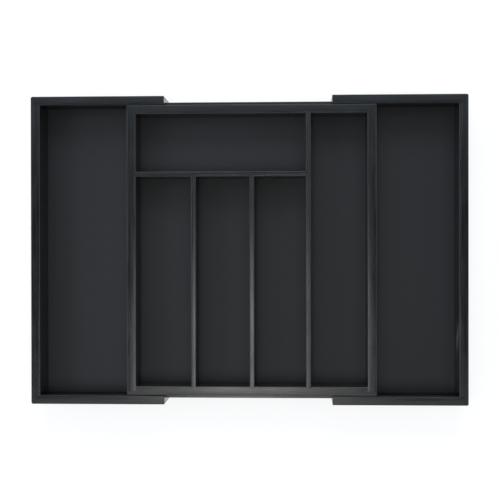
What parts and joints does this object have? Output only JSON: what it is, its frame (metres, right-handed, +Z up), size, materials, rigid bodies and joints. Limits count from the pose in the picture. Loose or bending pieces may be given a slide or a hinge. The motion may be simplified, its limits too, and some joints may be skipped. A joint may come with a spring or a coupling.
{
  "type": "cutlery tray",
  "caption": "Black extendable wooden cutlery tray for a drawer: a divided centre tray between two open wings that slide out on runners to fill the drawer's width.",
  "frame": {"origin": "on the surface that the tray stands on, at the middle of its box with both wings out", "axes": "+X from the left wing to the right wing, along the slides; +Y from front to back; +Z up"},
  "size_m": [0.5164, 0.365, 0.05],
  "materials": {
    "black_lacquered_wood": "satin black lacquer over fine straight grain, edges eased",
    "black_floor_panel": "matt black lacquer on a thin panel",
    "steel_pins": "plain drawn steel pins and brads"
  },
  "bodies": {
    "centre_tray": {"centre_back_rail": "black_lacquered_wood", "centre_front_rail": "black_lacquered_wood", "centre_left_wall": "black_lacquered_wood", "centre_right_wall": "black_lacquered_wood", "centre_floor_panel": "black_floor_panel", "cross_divider": "black_lacquered_wood", "long_divider": "black_lacquered_wood", "left_short_divider": "black_lacquered_wood", "right_short_divider": "black_lacquered_wood", "back_runner": "black_lacquered_wood", "front_runner": "black_lacquered_wood", "stop_pins": "steel_pins", "floor_brads": "steel_pins"},
    "left_wing": {"left_wing_end_wall": "black_lacquered_wood", "left_wing_back_rail": "black_lacquered_wood", "left_wing_front_rail": "black_lacquered_wood", "left_wing_floor_panel": "black_floor_panel"},
    "right_wing": {"right_wing_end_wall": "black_lacquered_wood", "right_wing_back_rail": "black_lacquered_wood", "right_wing_front_rail": "black_lacquered_wood", "right_wing_floor_panel": "black_floor_panel"}
  },
  "joints": [
    {"name": "left_wing_slide", "type": "slide", "parent": "centre_tray", "child": "left_wing", "axis": [1, 0, 0], "range_m": [0, 0.1027]},
    {"name": "right_wing_slide", "type": "slide", "parent": "centre_tray", "child": "right_wing", "axis": [-1, 0, 0], "range_m": [-0.0075, 0.0952]}
  ]
}
